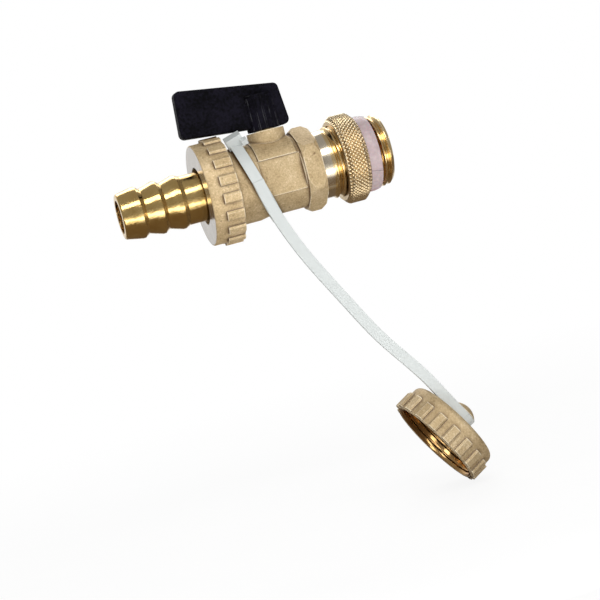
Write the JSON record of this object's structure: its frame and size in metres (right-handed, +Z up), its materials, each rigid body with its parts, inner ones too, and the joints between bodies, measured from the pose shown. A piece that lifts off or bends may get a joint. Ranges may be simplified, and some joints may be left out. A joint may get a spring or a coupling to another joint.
{
  "type": "drain cock",
  "caption": "Brass ball drain cock with a black lever, a hose tail held by a ribbed union nut, a knurled locknut on the inlet thread, and a ribbed cap on a white strap.",
  "frame": {"origin": "centre of the last full turn of the inlet thread, on the flow axis", "axes": "+X along the flow axis, out of the inlet thread; +Z up the stem, toward the lever"},
  "size_m": [0.084, 0.0391, 0.129],
  "materials": {
    "forged_brass": "matte",
    "turned_brass": "polished",
    "chromed_brass": "polished",
    "black_plastic": "matte",
    "white_nylon": "satin",
    "seal_plastic": "satin",
    "seat_plastic": "satin",
    "rubber": "matte"
  },
  "bodies": {
    "valve": {"body": "forged_brass", "inlet_nipple": "turned_brass", "outlet_seat": "seat_plastic", "inlet_seat": "seat_plastic", "strap": "white_nylon"},
    "lever_set": {"lever": "black_plastic", "stem": "turned_brass", "ball": "chromed_brass", "stem_thrust_washer": "seat_plastic", "stem_o_ring_lower": "rubber", "stem_o_ring_upper": "rubber"},
    "tail_set": {"hose_tail": "turned_brass", "tail_gasket": "rubber"},
    "union_nut": {"union_nut": "forged_brass"},
    "seal_ring": {"seal_ring": "seal_plastic"},
    "locknut": {"locknut": "turned_brass"},
    "cap_set": {"cap": "forged_brass", "cap_gasket": "rubber"}
  },
  "joints": [
    {"name": "lever_turn", "type": "hinge", "parent": "valve", "child": "lever_set", "pos_m": [-0.0316, 0, 0], "axis": [0, 0, -1], "range_deg": [0, 90]},
    {"name": "tail_slide", "type": "slide", "parent": "valve", "child": "tail_set", "axis": [-1, 0, 0], "range_m": [0, 0.00363]},
    {"name": "union_nut_turn", "type": "hinge", "parent": "tail_set", "child": "union_nut", "pos_m": [-0.05, 0, 0], "axis": [-1, 0, 0], "range_deg": [0, 720]},
    {"name": "seal_slide", "type": "slide", "parent": "valve", "child": "seal_ring", "axis": [1, 0, 0], "range_m": [-0.00544, 0.00181]},
    {"name": "locknut_turn", "type": "hinge", "parent": "seal_ring", "child": "locknut", "pos_m": [-0.01, 0, 0], "axis": [1, 0, 0], "range_deg": [-1080, 360]},
    {"name": "cap_spin", "type": "hinge", "parent": "valve", "child": "cap_set", "pos_m": [-0.0084, -0.0085, -0.0856], "axis": [0.8721, 0, 0.4894], "continuous": true}
  ],
  "couplings": [
    {"joint": "tail_slide", "follows": "union_nut_turn", "m_per_rad": 0.00028871},
    {"joint": "seal_slide", "follows": "locknut_turn", "m_per_rad": 0.00028871}
  ]
}
